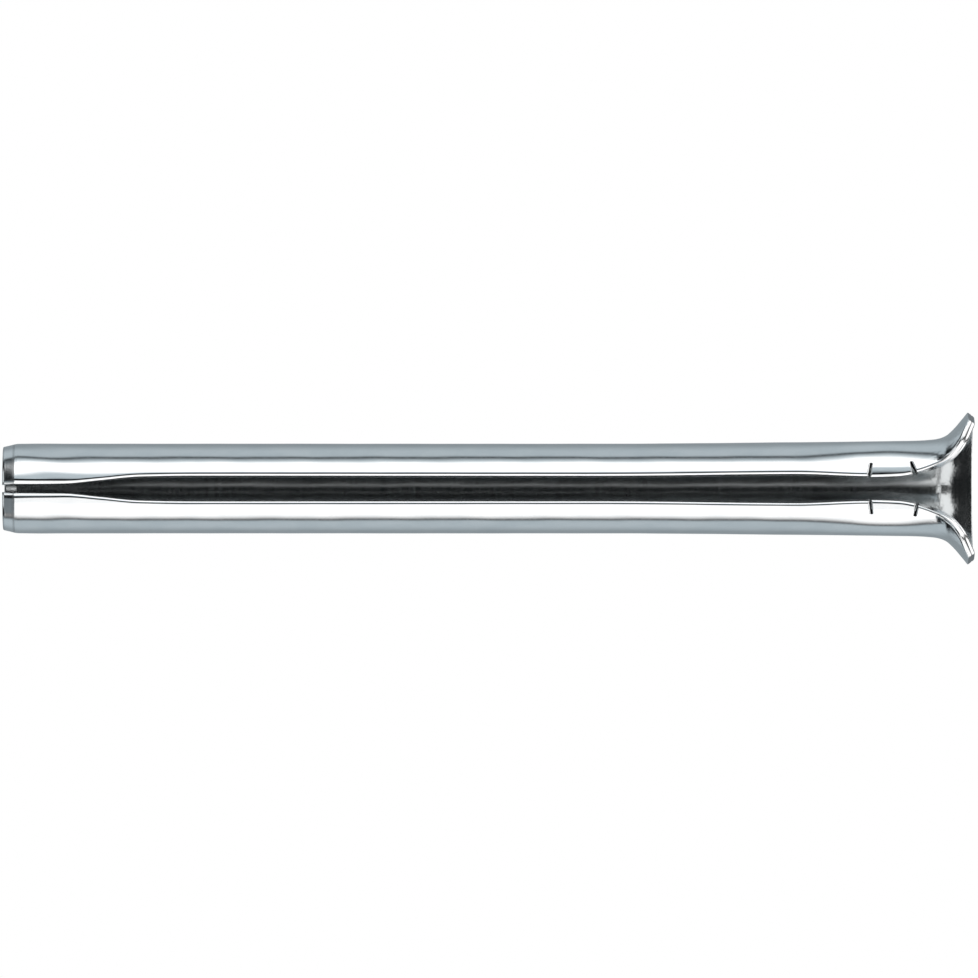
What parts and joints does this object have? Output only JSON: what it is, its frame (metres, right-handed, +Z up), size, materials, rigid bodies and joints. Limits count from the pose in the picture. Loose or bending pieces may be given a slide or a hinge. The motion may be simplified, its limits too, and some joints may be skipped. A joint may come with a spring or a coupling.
{
  "type": "wall anchor",
  "caption": "Hammer-in wall anchor: rolled sheet-steel sleeve with an open lengthwise slot, swaged tip and trumpet head.",
  "frame": {"origin": "on the anchor's axis, in the plane where the shank ends and the trumpet head starts to flare", "axes": "+X along the axis out of the wall, towards the head; -Y out through the slot; +Z up"},
  "size_m": [0.065, 0.0081, 0.0102],
  "materials": {
    "zinc_plated_steel": "bright blue-passivated zinc plating on spring steel sheet"
  },
  "bodies": {
    "root": {"sleeve": "zinc_plated_steel"}
  },
  "joints": []
}
